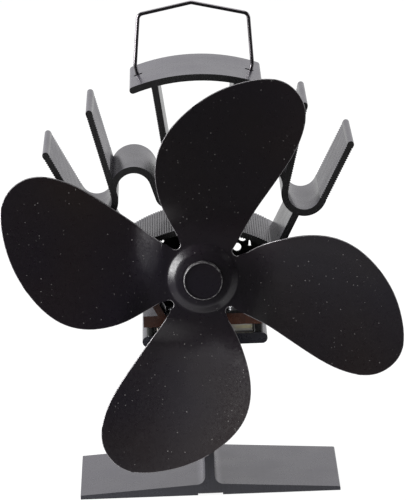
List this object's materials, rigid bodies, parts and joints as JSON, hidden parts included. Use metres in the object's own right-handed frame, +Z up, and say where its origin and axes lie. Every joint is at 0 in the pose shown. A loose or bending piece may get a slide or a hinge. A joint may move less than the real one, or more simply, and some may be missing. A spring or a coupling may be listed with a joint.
{
  "type": "stove fan",
  "caption": "Heat-powered stove fan: finned upper heat sink on a flat base, pressed fan blades in front, small motor in a tunnel and a wire carry handle.",
  "frame": {"origin": "centre of the base's flat underside, which rests on the stove top", "axes": "+Z up, the fan faces -Y, +X to the right seen from the front"},
  "size_m": [0.1662, 0.084, 0.2077],
  "materials": {
    "heatsink_coat": "dark grey satin coating on extruded aluminium",
    "fan_black": "satin black coating on pressed aluminium",
    "strip_metal": "rolled bimetal strip",
    "screw_steel": "plain zinc-plated steel",
    "grey_pad": "soft graphite-grey thermal pad",
    "dark_pad": "soft dark thermal pad",
    "ceramic": "matt white alumina plate",
    "seal": "cream silicone bead",
    "semiconductor": "dull dark grey",
    "sleeve_plastic": "glossy black",
    "black_plate": "satin black pressed plate",
    "black_screw": "black oxide",
    "motor_steel": "plated drawn steel",
    "shaft_steel": "ground steel",
    "bronze": "sintered bronze",
    "end_cap_plastic": "moulded black plastic",
    "magnet": "dark sintered ferrite",
    "core_steel": "stacked steel sheets",
    "copper": "copper",
    "carbon": "pressed carbon",
    "red_lead": "red silicone insulation",
    "black_lead": "black silicone insulation",
    "hub_alloy": "turned aluminium",
    "handle_wire": "dark polished wire"
  },
  "bodies": {
    "root": {"base_heatsink": "heatsink_coat", "bimetal_strip": "strip_metal", "strip_rivet": "screw_steel", "hot_pad": "grey_pad", "module_hot_plate": "ceramic", "module_pellets": "semiconductor", "module_seal": "seal", "module_cold_plate": "ceramic", "cold_pad": "dark_pad", "insulating_sleeves": "sleeve_plastic", "clamp_screws": "screw_steel", "upper_heatsink": "heatsink_coat", "motor_bracket": "black_plate", "bracket_screws": "black_screw", "collar_screws": "black_screw", "motor_can": "motor_steel", "front_bush": "bronze", "rear_bush": "bronze", "motor_end_cap": "end_cap_plastic", "motor_magnets": "magnet", "motor_brushes": "carbon", "motor_terminals": "bronze", "lead_red": "red_lead", "lead_black": "black_lead"},
    "rotor": {"motor_shaft": "shaft_steel", "armature_core": "core_steel", "armature_windings": "copper", "commutator": "copper", "fan_hub": "hub_alloy", "hub_set_screw": "screw_steel", "fan_blades": "fan_black", "hub_cap": "fan_black"},
    "handle": {"carry_handle": "handle_wire"}
  },
  "joints": [
    {"name": "blade_spin", "type": "hinge", "parent": "root", "child": "rotor", "pos_m": [0, -0.0325, 0.0963], "axis": [0, 1, 0], "continuous": true},
    {"name": "handle_rock", "type": "hinge", "parent": "root", "child": "handle", "pos_m": [0, -0.008, 0.1758], "axis": [1, 0, 0], "range_deg": [-10, 10]}
  ]
}
